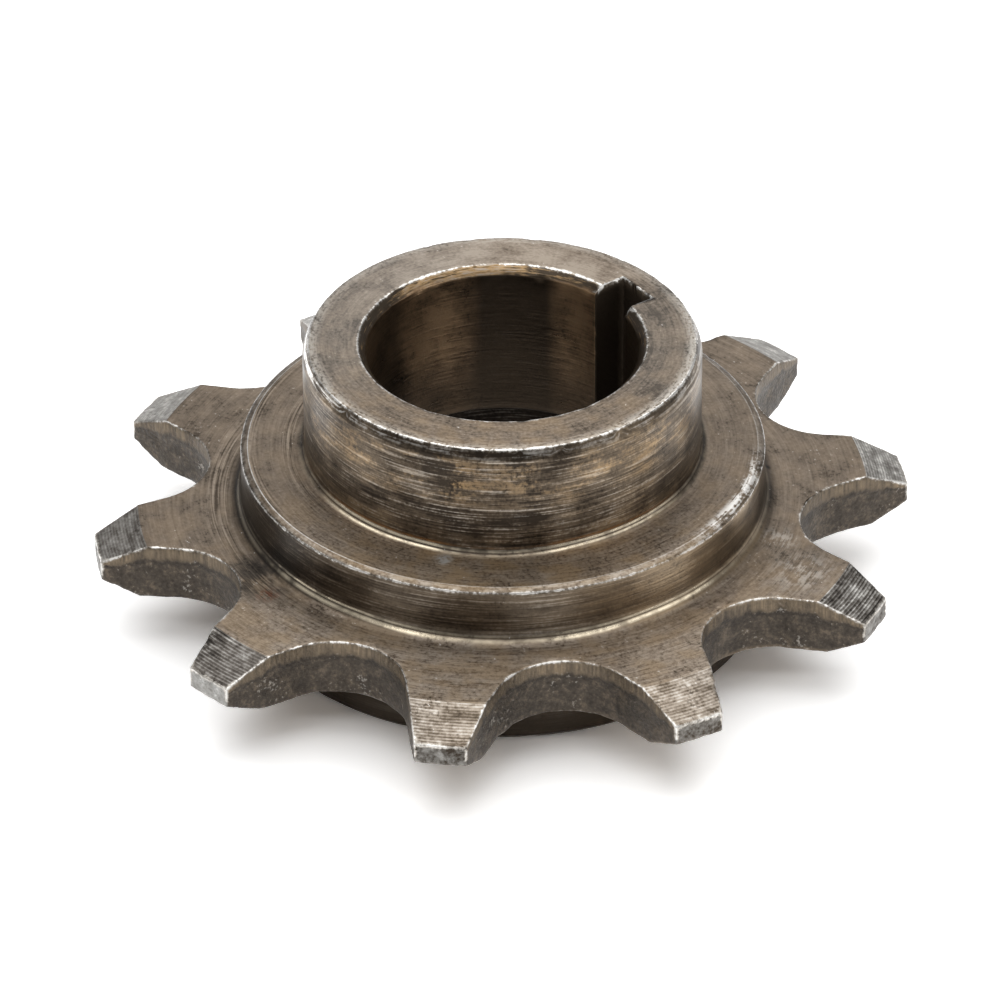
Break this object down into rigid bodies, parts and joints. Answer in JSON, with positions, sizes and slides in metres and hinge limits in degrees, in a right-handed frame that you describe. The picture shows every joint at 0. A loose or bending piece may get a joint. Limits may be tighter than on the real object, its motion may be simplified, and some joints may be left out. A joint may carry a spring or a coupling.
{
  "type": "chain sprocket",
  "caption": "Small steel roller-chain sprocket with chamfered teeth, stepped flange, tall keyed hub and lower boss.",
  "frame": {"origin": "on the bore axis at the lower boss's flat face, which the part stands on", "axes": "+Z along the bore axis, from the boss face up through the toothed plate to the hub; +Y from the bore axis through the middle of the keyway; +X completes the right-handed frame"},
  "size_m": [0.0454, 0.0454, 0.0166],
  "materials": {
    "steel": "turned carbon steel, oil-darkened to a warm brown grey, with bright worn edges, feed marks and nicks"
  },
  "bodies": {
    "root": {"sprocket": "steel"}
  },
  "joints": []
}
